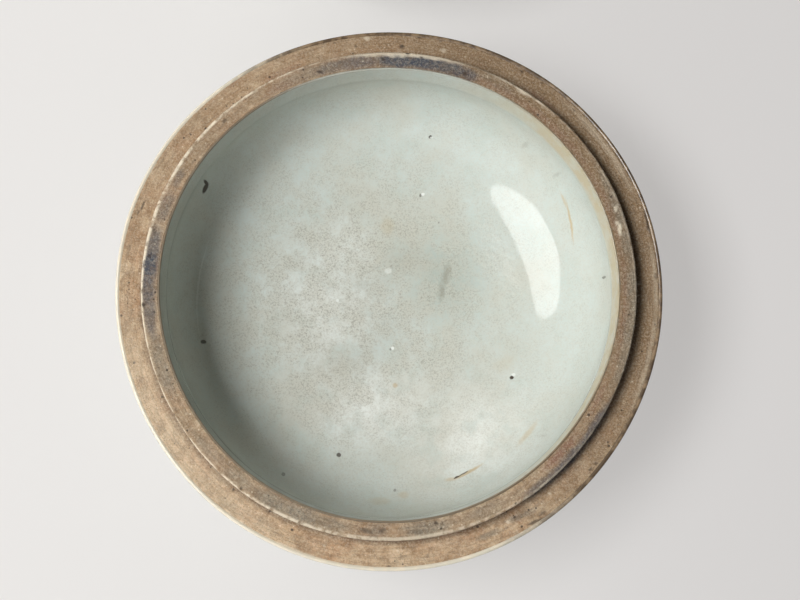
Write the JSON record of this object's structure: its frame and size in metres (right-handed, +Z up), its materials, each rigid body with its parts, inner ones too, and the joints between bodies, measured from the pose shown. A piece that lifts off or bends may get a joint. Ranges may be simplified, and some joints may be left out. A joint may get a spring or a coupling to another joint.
{
  "type": "seal paste box",
  "caption": "Round porcelain seal paste box, shown open: glazed shallow base with a bare ledge and raised seat, and a loose domed lid turned over beside it.",
  "frame": {"origin": "middle of the base's foot ring, on the plane that the open box stands on", "axes": "+Z up out of the base; +Y from the base towards the lid that lies beside it; +X to the right in the picture's view"},
  "size_m": [0.088, 0.188, 0.0262],
  "materials": {
    "bare_porcelain": "unglazed, fired tan, matt and slightly gritty",
    "inside_glaze": "pale grey-green glaze, glossy, finely speckled",
    "outside_glaze": "pale grey-green glaze, glossy, with cobalt ring lines"
  },
  "bodies": {
    "base": {"base_body": "bare_porcelain", "base_inside_glaze": "inside_glaze", "base_side_glaze": "outside_glaze", "base_underside_glaze": "outside_glaze"},
    "lid": {"lid_body": "bare_porcelain", "lid_inside_glaze": "inside_glaze", "lid_top_glaze": "outside_glaze", "lid_side_glaze": "outside_glaze"}
  },
  "joints": [
    {"name": "lid_flip", "type": "hinge", "parent": "base", "child": "lid", "pos_m": [0, 0.05, 0.02215], "axis": [1, 0, 0], "range_deg": [0, 180]}
  ]
}
